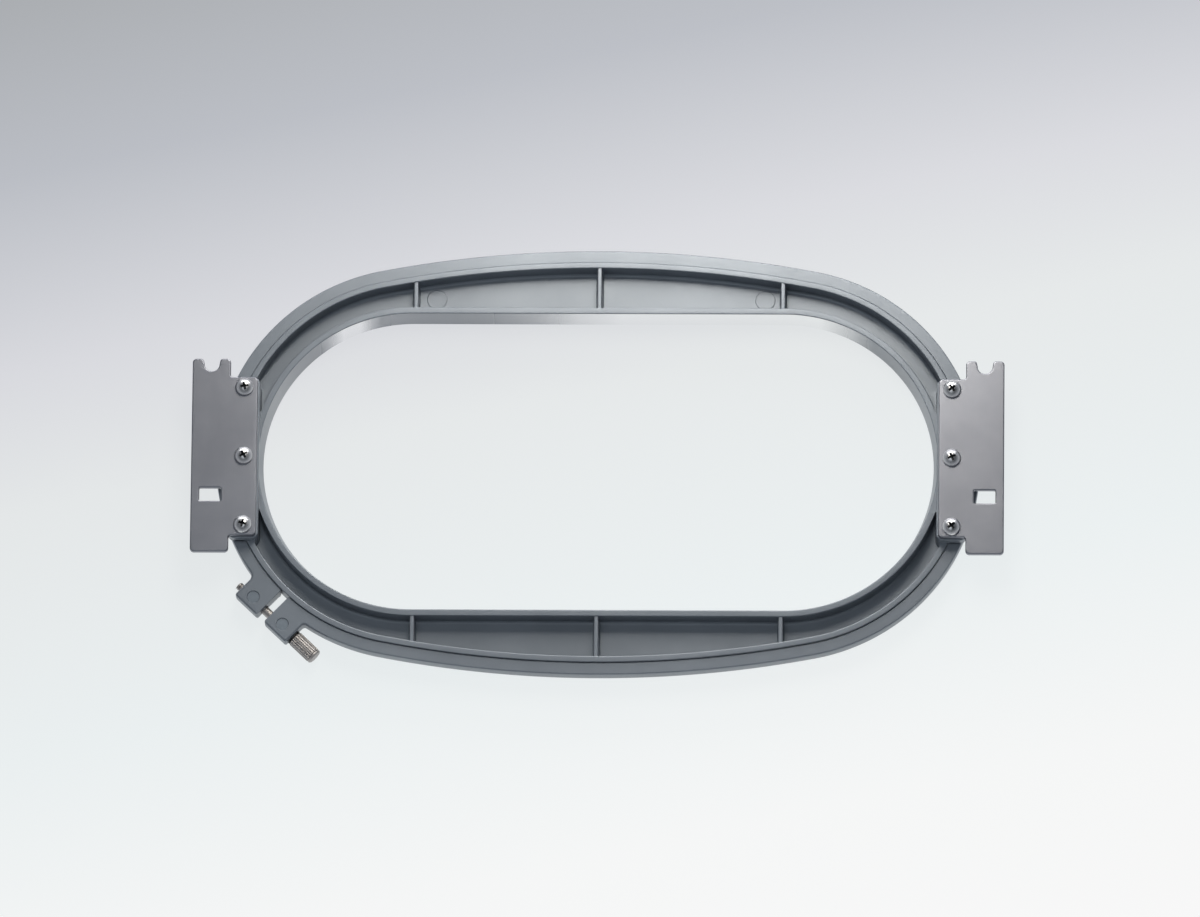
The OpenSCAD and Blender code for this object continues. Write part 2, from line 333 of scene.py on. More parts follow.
def combine(adds: Sequence[Outline], cuts: Sequence[Outline] = ()) -> list[Outline]:
    """Joins outlines, cuts others away, and returns the borders of what is left, material on their left."""
    points, triangles, _ = split_region(adds, cuts)
    edges = {(t[i], t[(i + 1) % 3]) for t in triangles for i in range(3)}
    follows = {a: b for a, b in edges if (b, a) not in edges}
    loops = []
    while follows:
        loop = [next(iter(follows))]
        while loop[-1] in follows:
            loop.append(follows.pop(loop[-1]))
        loops.append(points[loop[:-1]])
    return sorted(loops, key=lambda loop: -abs(area(loop)))


def area(loop: Outline) -> float:
    """Returns the signed area of an outline, positive where it runs anticlockwise."""
    x, y = loop.T
    return float(np.dot(x, np.roll(y, -1)) - np.dot(y, np.roll(x, -1))) / 2


def unit(v: np.ndarray) -> np.ndarray:
    """Returns vectors scaled to a length of 1."""
    return v / np.maximum(np.linalg.norm(v, axis=-1, keepdims=True), 1e-12)


def turning(loop: Outline) -> np.ndarray:
    """Returns how far an outline turns at each point, in degrees."""
    before, after = unit(loop - np.roll(loop, 1, 0)), unit(np.roll(loop, -1, 0) - loop)
    return np.degrees(np.arccos(np.clip((before * after).sum(1), -1, 1)))


def soften(loop: Outline, reach: Callable[[np.ndarray], float]) -> Outline:
    """Rounds the sharp corners of an outline.

    Args:
        loop: Closed outline.
        reach: Gives how far the round of a corner goes along its sides, from the corner's point.

    Returns:
        The outline with a smooth curve at each corner.
    """
    corners = np.flatnonzero(turning(loop) > CORNER_DEG)
    if not len(corners):
        return loop
    loop = np.roll(loop, -int(corners[0]), 0)
    corners = [(int(c) - int(corners[0])) % len(loop) for c in corners]
    closed = np.vstack([loop, loop[:1]])
    run = np.concatenate([[0], np.cumsum(np.linalg.norm(np.diff(closed, axis=0), axis=1))])
    total = run[-1]

    def at(s: float) -> np.ndarray:
        """Returns the point at a distance along the outline."""
        return np.array([np.interp(s % total, run, closed[:, k]) for k in range(2)])

    gone = np.zeros(len(loop), bool)
    rounds = []
    for i, c in enumerate(corners):
        gap = min((run[c] - run[corners[i - 1]]) % total or total,
                  (run[corners[(i + 1) % len(corners)]] - run[c]) % total or total)
        r = min(reach(loop[c]), 0.45 * gap)
        apart = (run[:-1] - run[c] + total / 2) % total - total / 2
        gone |= np.abs(apart) < r
        a, b = at(run[c] - r), at(run[c] + r)
        ta, tb = unit(a - at(run[c] - r - 0.05)), unit(at(run[c] + r + 0.05) - b)
        bend = math.acos(float(np.clip(ta @ tb, -1, 1)))
        pull = 4 / 3 * math.tan(bend / 4) * r / max(math.tan(bend / 2), 1e-6)
        t = np.linspace(0, 1, FILLET_STEPS + 1)[:, None]
        curve = ((1 - t) ** 3 * a + 3 * t * (1 - t) ** 2 * (a + ta * pull)
                 + 3 * t ** 2 * (1 - t) * (b - tb * pull) + t ** 3 * b)
        rounds.append((run[c], curve))
    pieces = [(run[i], loop[i:i + 1]) for i in np.flatnonzero(~gone)] + rounds
    # The first corner's round starts before the seam of the outline
    pieces.sort(key=lambda piece: piece[0])
    return np.vstack([piece for _, piece in pieces])


def even(length: float) -> Callable[[np.ndarray], float]:
    """Returns a reach for soften that is the same at every corner."""
    return lambda corner: length


# Meshes

@dataclass
class Rim:
    """One row of points of a wall, as numbers in the mesh and as an outline."""

    ids: list[int]
    outline: Outline


class Shell:
    """A closed mesh built up from walls along outlines and flat caps between them."""

    def __init__(self) -> None:
        """Starts with no points and no faces."""
        self.points: list[Place] = []
        self.faces: list[tuple[int, ...]] = []

    def wall(self, loop: Outline, profile: Profile, share: np.ndarray | None = None) -> tuple[Rim, Rim]:
        """Adds a wall along an outline.

        Args:
            loop: Closed outline with its material on the left.
            profile: Pairs of a distance into the material and a height, from the bottom up.
            share: Share of each distance that a point of the outline takes, or None for all of it.

        Returns:
            The lowest and the highest rim.
        """
        before, after = unit(loop - np.roll(loop, 1, 0)), unit(np.roll(loop, -1, 0) - loop)
        side = np.column_stack([-(before + after)[:, 1], (before + after)[:, 0]])
        side /= np.maximum(1 + (before * after).sum(1), 0.4)[:, None]
        rims = []
        for inset, z in profile:
            row = loop + side * (inset if share is None else inset * share[:, None])
            first = len(self.points)
            self.points += [(x, y, z) for x, y in row]
            rims.append(Rim(list(range(first, first + len(row))), row))
        for low, high in zip(rims, rims[1:]):
            self.join(low, high)
        return rims[0], rims[-1]

    def join(self, low: Rim, high: Rim) -> None:
        """Adds a row of faces between two rims with the same number of points."""
        self.faces += zip(low.ids, low.ids[1:] + low.ids[:1], high.ids[1:] + high.ids[:1], high.ids)

    def cap(self, rims: Sequence[Rim], up: bool = True) -> None:
        """Closes the area between rims with flat triangles that face up or down."""
        solid = sorted(rims, key=lambda rim: -abs(area(rim.outline)))
        loops = [r.outline if area(r.outline) > 0 else r.outline[::-1] for r in solid]
        ids = [i for r in solid for i in (r.ids if area(r.outline) > 0 else r.ids[::-1])]
        points, triangles, source = split_region(loops[:1], loops[1:])
        z = self.points[ids[0]][2]
        numbers = []
        for point, origin in zip(points, source):
            if origin < 0:
                self.points.append((point[0], point[1], z))
            numbers.append(len(self.points) - 1 if origin < 0 else ids[origin])
        for t in triangles:
            face = tuple(numbers[i] for i in t)
            self.faces.append(face if up else face[::-1])

    def mesh(self, name: str, place: Matrix = Matrix.Identity(4)) -> bpy.types.Mesh:
        """Returns the shell as a mesh in metres, after it is placed in mm."""
        mesh = bpy.data.meshes.new(name)
        mesh.from_pydata([place @ Vector(p) for p in self.points], [], self.faces)
        mesh.transform(Matrix.Scale(MM, 4))
        mesh.update()
        return mesh


def edge(r: float, z: float, up: bool, steps: int = 4) -> list[Point]:
    """Returns the profile of a rounded edge: up is True for the top edge of a wall and False for its foot."""
    turn = [math.pi / 2 * i / steps for i in range(steps + 1)]
    if up:
        return [(r * (1 - math.cos(a)), z - r * (1 - math.sin(a))) for a in turn]
    return [(r * (1 - math.sin(a)), z + r * (1 - math.cos(a))) for a in turn]


def hollow_edge(r: float, z: float, steps: int = 4) -> list[Point]:
    """Returns the profile of a fillet between a floor at a height and the wall that rises from it."""
    turn = [math.pi / 2 * i / steps for i in range(steps + 1)]
    return [(-r * (1 - math.sin(a)), z + r * (1 - math.cos(a))) for a in turn]


def revolved(name: str, profile: Profile, place: Matrix, steps: int = 72) -> bpy.types.Mesh:
    """Turns a profile of radius and height pairs, from its foot up, into a closed mesh in metres."""
    shell = Shell()
    ring = circle((0, 0), 1.0, steps)
    for r, z in profile:
        shell.points += [(x * r, y * r, z) for x, y in ring]
    for row in range(len(profile) - 1):
        a, b = row * steps, (row + 1) * steps
        shell.faces += [(a + i, a + (i + 1) % steps, b + (i + 1) % steps, b + i) for i in range(steps)]
    shell.faces.append(tuple(range(steps))[::-1])
    shell.faces.append(tuple(range((len(profile) - 1) * steps, len(profile) * steps)))
    return shell.mesh(name, place)


def new_object(name: str, mesh: bpy.types.Mesh) -> bpy.types.Object:
    """Puts a mesh in the scene as an object at the origin."""
    piece = bpy.data.objects.new(name, mesh)
    bpy.context.scene.collection.objects.link(piece)
    return piece


def settle(piece: bpy.types.Object) -> bpy.types.Object:
    """Turns a piece's evaluated shape into its own plain mesh, and drops its modifiers."""
    bpy.context.view_layer.update()
    graph = bpy.context.evaluated_depsgraph_get()
    mesh = bpy.data.meshes.new_from_object(piece.evaluated_get(graph), depsgraph=graph)
    piece.modifiers.clear()
    old, piece.data = piece.data, mesh
    name = old.name
    bpy.data.meshes.remove(old)
    mesh.name = name
    return piece


def shade(piece: bpy.types.Object, degrees: float = SMOOTH_DEG) -> bpy.types.Object:
    """Smooths a piece over its rounds and keeps its flat faces flat."""
    piece.data.shade_smooth()
    piece.data.set_sharp_from_angle(angle=math.radians(degrees))
    normals = piece.modifiers.new("Normals", "WEIGHTED_NORMAL")
    normals.keep_sharp = True
    return settle(piece)


def cut(piece: bpy.types.Object, tool: bpy.types.Mesh) -> None:
    """Cuts a closed mesh out of a piece."""
    cutter = new_object("cutter", tool)
    boolean = piece.modifiers.new("Cut", "BOOLEAN")
    boolean.operation, boolean.solver, boolean.object = "DIFFERENCE", "EXACT", cutter
    settle(piece)
    bpy.data.objects.remove(cutter)


def six(kind: str) -> list[str]:
    """Returns the nodes of a kind that each arm has three of."""
    return [f"{side}_{kind}_{row}" for side in ("left", "right") for row in ("top", "middle", "bottom")]


def hand_over(piece: bpy.types.Object, body: str, nodes: Iterable[str], finish: Finishes) -> None:
    """Dresses a finished piece, ties it to its body and reports it.

    Args:
        piece: Finished piece with its place in its mesh.
        body: Body that it rides on.
        nodes: Nodes that it stands for.
        finish: Its finish.
    """
    piece.data.materials.clear()
    piece.data.materials.append(finish.value.material())
    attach(piece, body)
    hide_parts(*nodes)
    LOG.info("%s: %d faces, rides on %s", piece.name, len(piece.data.polygons), body)


class NodeShape:
    """A Geometry Nodes tree with named inputs, which runs on a base mesh."""

    def __init__(self, name: str) -> None:
        """Starts a tree of that name with a geometry input and output."""
        self.tree = bpy.data.node_groups.new(name, "GeometryNodeTree")
        for way in ("INPUT", "OUTPUT"):
            self.tree.interface.new_socket("Geometry", in_out=way, socket_type="NodeSocketGeometry")
        self.source = self.tree.nodes.new("NodeGroupInput")
        self.values: dict[str, Any] = {}

    def size(self, name: str, value: Any, kind: str = "NodeSocketFloat") -> Socket:
        """Adds a named input with its value, and returns the socket that gives it inside the tree."""
        socket = self.tree.interface.new_socket(name, in_out="INPUT", socket_type=kind)
        self.values[socket.identifier] = value
        return self.source.outputs[name]

    def add(self, kind: str, inputs: dict[Any, Any] | Sequence[Any] = (), **settings: Any) -> bpy.types.Node:
        """Adds a node to the tree, as add_node does."""
        return add_node(self.tree, kind, inputs, **settings)

    def build(self, name: str, base: bpy.types.Mesh, shape: bpy.types.Node,
              finish: Finishes) -> bpy.types.Object:
        """Ends the tree, runs it on a base mesh and returns the result as a plain piece.

        Args:
            name: Name of the piece.
            base: Mesh that the modifier stands on.
            shape: Node that gives the shape.
            finish: Finish of the piece.

        Returns:
            The piece, with no modifier.
        """
        real = self.add("GeometryNodeRealizeInstances", [shape])
        dressed = self.add("GeometryNodeSetMaterial", {"Geometry": real, "Material": finish.value.material()})
        self.add("NodeGroupOutput", [dressed])
        piece = new_object(name, base)
        modifier = piece.modifiers.new(name, "NODES")
        modifier.node_group = self.tree
        for identifier, value in self.values.items():
            modifier[identifier] = value
        return settle(piece)


@dataclass(frozen=True)
class Copy:
    """Where one copy of a repeated shape stands.

    Attributes:
        place: Its place, in mm.
        turn: Its turn about Z, in degrees.
        length: How much it is stretched along its own Y.
    """

    place: Place
    turn: float = 0.0
    length: float = 1.0


def repeat(name: str, template: bpy.types.Mesh, copies: Sequence[Copy], finish: Finishes) -> bpy.types.Object:
    """Sets copies of a shape on points with Geometry Nodes.

    Args:
        name: Name of the piece.
        template: Mesh of the shape.
        copies: Where the copies stand.
        finish: Finish of the piece.

    Returns:
        All copies as one plain piece.
    """
    base = bpy.data.meshes.new(name)
    base.from_pydata([Vector(copy.place) * MM for copy in copies], [], [])
    for word, values in (("turn", [math.radians(copy.turn) for copy in copies]),
                         ("length", [copy.length for copy in copies])):
        base.attributes.new(word, "FLOAT", "POINT").data.foreach_set("value", np.array(values, np.float32))
    original = new_object(name + "_template", template)
    shape = NodeShape(name + "_rows")
    source = shape.add("GeometryNodeObjectInfo", {
        "Object": shape.size("Shape", original, "NodeSocketObject")})
    turn, length = (shape.add("GeometryNodeInputNamedAttribute", {"Name": word}, data_type="FLOAT")
                    for word in ("turn", "length"))
    size = shape.size("Size", 1.0)
    placed = shape.add("GeometryNodeInstanceOnPoints", {
        "Points": shape.add("GeometryNodeMeshToPoints", {"Mesh": shape.source.outputs["Geometry"]}),
        "Instance": source.outputs["Geometry"],
        "Rotation": shape.add("ShaderNodeCombineXYZ", {"Z": turn}),
        "Scale": shape.add("ShaderNodeCombineXYZ", {"X": size, "Y": length, "Z": size})})
    piece = shape.build(name, base, placed, finish)
    bpy.data.objects.remove(original)
    return piece


# The hoop

@dataclass(frozen=True)
class HoopPlan:
    """Outlines that both rings share, seen from above.

    Attributes:
        ring_w: Length of the outer ring along X.
        ring_h: Width of the outer ring along Y.
        end_r: Radius of its round ends.
        field_w: Length of the opening of the inner ring.
        field_h: Width of that opening.
        clamp_deg: Angle of the split below -X, about the centre of the left end.
        clamp_out: Distance of the tension screw's axis from the outer face.
        axis_z: Height of that axis.
    """

    ring_w: float = 338.6
    ring_h: float = 194.8
    end_r: float = 89.7
    field_w: float = 301.0
    field_h: float = 136.0
    clamp_deg: float = 46.2
    clamp_out: float = 5.3
    axis_z: float = 5.3

    @property
    def end_x(self) -> float:
        """Distance of the centres of the round ends from the middle."""
        return self.ring_w / 2 - self.end_r

    @property
    def crown_r(self) -> float:
        """Radius of the long sides, which meet the round ends in line."""
        rise = self.ring_h / 2
        return (self.end_x ** 2 + rise ** 2 - self.end_r ** 2) / (2 * (rise - self.end_r))

    @property
    def crown_y(self) -> float:
        """Distance of a long side's centre beyond the middle."""
        return self.crown_r - self.ring_h / 2

    def oval(self, inset: float) -> Outline:
        """Returns the outline of the outer ring, drawn in by a distance."""
        tip = 90 - math.degrees(math.atan2(self.end_x, self.crown_y))
        ends = [arc((side * self.end_x, 0), self.end_r - inset, turn - tip, turn + tip, 116)[:-1]
                for side, turn in ((1, 0), (-1, 180))]
        crowns = [arc((0, -side * self.crown_y), self.crown_r - inset, turn - 90 + tip, turn + 90 - tip,
                      96)[:-1] for side, turn in ((1, 90), (-1, 270))]
        return np.vstack([ends[0], crowns[0], ends[1], crowns[1]])

    def opening(self, grow: float) -> Outline:
        """Returns the outline of the opening, grown by a distance."""
        r, x = self.field_h / 2, (self.field_w - self.field_h) / 2
        sides = [np.column_stack([np.linspace(side * x, -side * x, 84)[1:-1], np.full(82, side * (r + grow))])
                 for side in (1, -1)]
        ends = [arc((side * x, 0), r + grow, turn - 90, turn + 90, 120) for side, turn in ((1, 0), (-1, 180))]
        return np.vstack([ends[0], sides[0], ends[1], sides[1]])

    def clamp(self, outwards: float = 0.0, along: float = 0.0) -> Point:
        """Returns the plan place of a point of the clamp: outwards from the screw's axis, and along it."""
        turn = math.radians(180 + self.clamp_deg)
        r = self.end_r + self.clamp_out + outwards
        return (-self.end_x + r * math.cos(turn) - along * math.sin(turn),
                r * math.sin(turn) + along * math.cos(turn))

    def at_clamp(self, points: np.ndarray) -> tuple[np.ndarray, np.ndarray]:
        """Returns how far points lie outwards from the tension screw's axis, and how far along it."""
        turn = math.radians(180 + self.clamp_deg)
        way = np.atleast_2d(points) - self.clamp()
        return way @ (math.cos(turn), math.sin(turn)), way @ (-math.sin(turn), math.cos(turn))

    def clamped(self, outline: Outline) -> Outline:
        """Returns an outline that was drawn at the clamp, with X outwards and Y along the screw."""
        return np.array([self.clamp(x, y) for x, y in outline])

    def on_axis(self, along: float) -> Matrix:
        """Returns the place, in mm, that stands Z along the tension screw, from a point of its axis."""
        x, y = self.clamp(0, along)
        turn = Matrix.Rotation(math.radians(180 + self.clamp_deg), 4, "Z")
        return Matrix.Translation((x, y, self.axis_z)) @ turn @ Matrix.Rotation(math.radians(-90), 4, "X")


@dataclass
class OuterRing:
    """Split outer ring with two lugs, one moulding.

    Attributes:
        plan: Outlines of the hoop.
        height: Height of the ring.
        wall: Wall of the ring, seen from above.
        split: Width of the split.
        lug_l: Length of each lug along the screw.
        lug_out: Wall of the lugs outside the screw's axis.
        lug_r: Corner radius of the lugs.
        root_r: Radius where a lug grows out of the ring, at the screw's tip and at its knob.
        corner_r: Radius of the split's upright edges.
        edge_r: Radius of the lugs' upper edges.
        ring_edge: Share of it that the ring's own outer edge has.
        foot_r: How far the ring's outer face curls in at its foot.
        foot_h: Height up to which it curls in.
        lug_foot: Share of the curl that the lugs have.
        split_foot: Share of it that the fitting face and the split have.
        sharp: Share of the round that all the other upper edges have.
        seat_d: Diameter of the hole that shows a barrel's end.
        barrel_d: Diameter of the barrel's seat.
        skin: Thickness of the lug over the barrel's shoulder.
        bore_d: Diameter of the bores for the tension screw.
    """

    plan: HoopPlan
    height: float = 10.6
    wall: float = 5.4
    split: float = 4.5
    lug_l: float = 13.5
    lug_out: float = 5.0
    lug_r: float = 1.2
    root_r: Point = (2.4, 1.0)
    corner_r: float = 0.35
    edge_r: float = 1.0
    ring_edge: float = 0.55
    foot_r: float = 2.2
    foot_h: float = 6.0
    lug_foot: float = 1.0
    split_foot: float = 0.45
    sharp: float = 0.1
    seat_d: float = 5.4
    barrel_d: float = 7.1
    skin: float = 1.6
    bore_d: float = 4.6

    def reach(self, corner: np.ndarray) -> float:
        """Returns how far the round of a corner goes: wide at the lugs' roots, small at the split."""
        outwards, along = (float(v[0]) for v in self.plan.at_clamp(corner))
        if abs(along) > self.split:
            return self.root_r[along > 0]
        return self.lug_r if outwards > 0 else self.corner_r

    def outline(self) -> Outline:
        """Returns the ring's outline from above, one loop through the split."""
        end = self.split / 2 + self.lug_l
        lugs = rectangle((-self.plan.clamp_out - self.wall / 2, -end), (self.lug_out, end), self.lug_r)
        gap = rectangle((-self.plan.clamp_out - 3 * self.wall, -self.split / 2),
                        (2 * self.lug_out, self.split / 2))
        loop = combine([self.plan.oval(0), self.plan.clamped(lugs)],
                       [self.plan.oval(self.wall), self.plan.clamped(gap)])[0]
        return soften(loop, self.reach)

    def share(self, loop: Outline, on_ring: float, on_lugs: float, elsewhere: float) -> np.ndarray:
        """Returns the share of a round that each point of the outline has.

        Args:
            loop: Outline of the ring.
            on_ring: Share on the ring's outer face.
            on_lugs: Share on the lugs.
            elsewhere: Share on the fitting face and in the split.

        Returns:
            One share for each point.
        """
        outwards, along = self.plan.at_clamp(loop)
        away = np.hypot(outwards, along)
        fade = np.clip((away - self.split / 2 - self.lug_l - 2) / 12, 0, 1)
        wanted = on_lugs + (on_ring - on_lugs) * fade * fade * (3 - 2 * fade)
        beside = np.clip((np.abs(along) - self.split / 2) / self.lug_r, 0, 1)
        split = np.where(away < 3 * self.lug_l, beside, 1)
        outside = ~inside(loop, self.plan.oval(self.wall / 2))
        return elsewhere + (wanted - elsewhere) * outside * split

    def build(self) -> None:
        """Builds the ring and hands it over."""
        loop = self.outline()
        shell = Shell()
        foot = [(inset, z * self.foot_h / self.foot_r) for inset, z in edge(self.foot_r, 0, False, 7)]
        low, high = shell.wall(loop, foot, self.share(loop, 1, self.lug_foot, self.split_foot))
        brow = edge(self.edge_r, self.height, True, 5)
        brow_low, top = shell.wall(loop, brow, self.share(loop, self.ring_edge, 1, self.sharp))
        shell.join(high, brow_low)
        lows, tops = [low], [top]
        step = (self.barrel_d - self.seat_d) / 2
        shoulder = self.height - self.skin
        lead, bevel = 0.3, 0.2
        seat = [(step + lead, 0), (step, lead), (step, shoulder), (0, shoulder), (0, self.height - bevel),
                (bevel, self.height)]
        for side in (-1, 1):
            hole = circle(self.plan.clamp(0, side * (self.split + self.lug_l) / 2), self.seat_d / 2)[::-1]
            low, high = shell.wall(hole, seat)
            lows.append(low)
            tops.append(high)
        shell.cap(lows, up=False)
        shell.cap(tops)
        piece = new_object("outer_ring_moulding", shell.mesh("outer_ring_moulding"))
        reach, r = self.split / 2 + self.lug_l + 1, self.bore_d / 2
        cut(piece, revolved("bore", [(r, 0), (r, 2 * reach)], self.plan.on_axis(-reach)))
        shade(piece)
        hand_over(piece, "outer_ring_body", ["outer_ring"], Finishes.MOULDED_ABS)


@dataclass
class InnerRing:
    """Inner channel ring with its ribs and the pads that carry the arms, one moulding.

    Attributes:
        plan: Outlines of the hoop.
        inset: Distance of the fitting face inside the outer ring's outer face.
        height: Height of the ring.
        floor: Thickness of the channel's floor.
        field_wall: Wall between the channel and the opening.
        fit_wall: Wall between the channel and the outer ring.
        draft: How much each side of the opening narrows to its foot.
        edge_r: Radius of the upper edges.
        foot_edge: Radius of the opening's lower edge.
        floor_r: Radius between the channel's floor and its walls.
        lead: How far the fitting face leans in at its foot, and the height up to which it does.
        rib_t: Thickness of a rib at its top.
        rib_foot: Extra thickness of a rib at the floor.
        rib_r: Radius at a rib's foot and at its top.
        rib_pitch: Distance of the outer ribs from the middle.
        rib_drop: How far the ribs lie below the rims.
        pad_in: Distance of the pads' inner edges from the middle.
        pad_w: Width of a pad.
        pad_l: Length of a pad.
        pad_r: Corner radius of a pad.
        pad_edge: Radius of a pad's lower and of its upper edge.
        pad_z: Height of the pads' seats.
        pad_under: Height of the pads' overhang above the table.
        under_edge: Radius of the overhang's lower edge.
        insert_d: Diameter of the holes for the inserts.
        insert_l: Depth of these holes.
        screw_pitch: Distance between neighbouring arm screws.
        marks: Places of the ejector marks on the channel's floor.
        mark_d: Diameter of an ejector mark.
        gloss: Share of painted highlight on the opening's far wall, from 0 to 1, at places along X, where the
            wall is also glossier.
        tip_deg: Turn past which a corner of the channel is a narrow tip.
        tip_reach: How far from such a tip the rounds grow to their full size.
        tip_share: Share of the rounds that is left at the tip itself.
        tip_r: How far the round of the channel's corners goes along their sides.
        least_area: Area of the smallest channel, in square mm.
        overlap: How far the ribs reach into the walls, and the pads into the ring's top.
    """

    plan: HoopPlan
    inset: float = 5.55
    height: float = 11.5
    floor: float = 2.0
    field_wall: float = 2.9
    fit_wall: float = 2.7
    draft: float = 1.8
    edge_r: float = 0.45
    foot_edge: float = 0.5
    floor_r: float = 1.4
    lead: Point = (0.9, 4.0)
    rib_t: float = 1.9
    rib_foot: float = 0.35
    rib_r: float = 0.4
    rib_pitch: float = 81.5
    rib_drop: float = 0.4
    pad_in: float = 150.1
    pad_w: float = 13.4
    pad_l: float = 74.0
    pad_r: float = 3.0
    pad_edge: Point = (0.2, 0.45)
    pad_z: float = 16.5
    pad_under: float = 11.0
    under_edge: float = 0.3
    insert_d: float = 5.84
    insert_l: float = 5.8
    screw_pitch: float = 31.5
    marks: tuple[Point, ...] = ((-72.5, 77.0), (73.5, 77.0))
    mark_d: float = 9.0
    # Shares of painted highlight along X on the opening's far wall
    gloss: tuple[Point, ...] = (
        (-124, 0.3), (-114, 1), (-106, 1), (-97, 0.35), (-75, 0.25), (-50, 0.3), (-30, 0.5), (-10, 0.85),
        (10, 1), (98, 1), (112, 0.65), (122, 0.2))
    tip_deg: float = 80.0
    tip_reach: float = 9.0
    tip_share: float = 0.08
    tip_r: float = 1.6
    least_area: float = 200.0
    overlap: Point = (0.5, 0.3)

    def pad_outline(self, side: int, skip: float = 0.0) -> Outline:
        """Returns the outline of one pad, without a strip along its inner edge."""
        xs = sorted((side * (self.pad_in + skip), side * (self.pad_in + self.pad_w)))
        return rectangle((xs[0], -self.pad_l / 2), (xs[1], self.pad_l / 2), self.pad_r)

    def body(self) -> bpy.types.Object:
        """Returns the channel ring with its opening."""
        shell = Shell()
        brow = edge(self.edge_r, self.height, True)
        lead = [(inset * self.lead[0], z * self.lead[1]) for inset, z in edge(1, 0, False)]
        foot = [(inset - self.draft, z) for inset, z in edge(self.foot_edge, 0, False)]
        rims = [shell.wall(self.plan.oval(self.inset), lead + brow),
                shell.wall(self.plan.opening(0)[::-1], foot + brow)]
        tops = [high for _, high in rims]
        channels = combine([self.plan.oval(self.inset + self.fit_wall)],
                           [self.plan.opening(self.field_wall), self.pad_outline(-1), self.pad_outline(1)])
        for loop in channels:
            if area(loop) < self.least_area:
                continue
            tips = loop[turning(loop) > self.tip_deg]
            loop = soften(loop, even(self.tip_r))[::-1]
            far = np.linalg.norm(loop[:, None] - tips[None], axis=2).min(1) / self.tip_reach
            low, high = shell.wall(loop, hollow_edge(self.floor_r, self.floor) + brow,
                                   np.clip(far, self.tip_share, 1))
            shell.cap([low])
            tops.append(high)
        shell.cap([low for low, _ in rims], up=False)
        shell.cap(tops)
        return new_object("inner_ring_moulding", shell.mesh("inner_ring_moulding"))

    def pad(self, side: int) -> bpy.types.Mesh:
        """Returns the block of one pad, with the holes for its inserts."""
        middle = side * (self.pad_in + self.pad_w / 2)
        shell = Shell()
        low, high = shell.wall(self.pad_outline(side),
                               edge(self.pad_edge[0], self.height - self.overlap[1], False)
                               + edge(self.pad_edge[1], self.pad_z, True))
        tops = [high]
        for row in (-1, 0, 1):
            hole = circle((middle, row * self.screw_pitch), self.insert_d / 2)[::-1]
            floor, rim = shell.wall(hole, [(0, self.pad_z - self.insert_l), (0, self.pad_z)])
            shell.cap([floor])
            tops.append(rim)
        shell.cap(tops)
        shell.cap([low], up=False)
        return shell.mesh("pad")

    def ledge(self, side: int) -> bpy.types.Mesh:
        """Returns the part of one pad that hangs over the outer ring, below the rims' height."""
        shell = Shell()
        low, high = shell.wall(self.pad_outline(side, self.field_wall),
                               edge(self.under_edge, self.pad_under, False) + [(0, self.height + 1)])
        shell.cap([low], up=False)
        shell.cap([high])
        return shell.mesh("ledge")

    def rib(self) -> bpy.types.Mesh:
        """Returns one rib, 1 m long along Y, standing on the channel's floor."""
        top, half, r = self.height - self.rib_drop, self.rib_t / 2, self.rib_r
        foot = half + self.rib_foot + r
        turns = (0.4, 0.8, 1.2, math.pi / 2)
        right = [(foot, self.floor - 0.4), (foot, self.floor)]
        right += [(foot - r * math.sin(a), self.floor + r * (1 - math.cos(a))) for a in turns]
        right += [(half - r + r * math.cos(a), top - r + r * math.sin(a)) for a in (0, *turns)]
        outline = right + [(-x, z) for x, z in right[::-1]]
        count = len(outline)
        mesh = bpy.data.meshes.new("rib")
        points = [(x * MM, y, z * MM) for y in (0, 1) for x, z in outline]
        faces = [(count + i, count + (i + 1) % count, (i + 1) % count, i) for i in range(count)]
        ends = [tuple(range(count)), tuple(range(count, 2 * count))[::-1]]
        mesh.from_pydata(points, [], faces + ends)
        return mesh

    def ribs(self) -> bpy.types.Object:
        """Returns all six ribs, each as long as the channel is wide at its place."""
        start = self.plan.field_h / 2 + self.field_wall - self.overlap[0]
        r = self.plan.crown_r - self.inset - self.fit_wall + self.overlap[0]
        copies = []
        for side in (1, -1):
            for column in (-1, 0, 1):
                x = column * self.rib_pitch
                length = (math.sqrt(r * r - x * x) - self.plan.crown_y - start) * MM
                copies.append(Copy((side * x, side * start, 0), 90 - side * 90, length))
        return repeat("ribs", self.rib(), copies, Finishes.MOULDED_ABS)

    def ejector_marks(self) -> bpy.types.Object:
        """Returns the faint round marks that the ejector pins leave on the channel's floor."""
        r = self.mark_d / 2
        profile = [(r, -0.3), (r, 0.0), (r - 0.15, 0.1), (r - 0.5, 0.12), (r - 1.1, 0.06)]
        mark = revolved("mark", profile, Matrix.Identity(4), 40)
        copies = [Copy((x, y, self.floor)) for x, y in self.marks]
        return repeat("ejector_marks", mark, copies, Finishes.MOULDED_ABS)

    def build(self) -> None:
        """Builds the ring and hands it over."""
        piece = self.body()
        repeated = [self.ribs(), self.ejector_marks()]
        parts = [part(side) for part in (self.pad, self.ledge) for side in (-1, 1)]
        mesh = bmesh.new()
        for data in [piece.data, *parts] + [each.data for each in repeated]:
            mesh.from_mesh(data)
        mesh.to_mesh(piece.data)
        mesh.free()
        for each in repeated:
            bpy.data.objects.remove(each)
        shade(piece)
        hand_over(piece, "inner_ring_body", ["inner_ring"], Finishes.MOULDED_ABS_CORE)
        # Paints highlights on the opening's far wall
        self.paint_opening_glints()

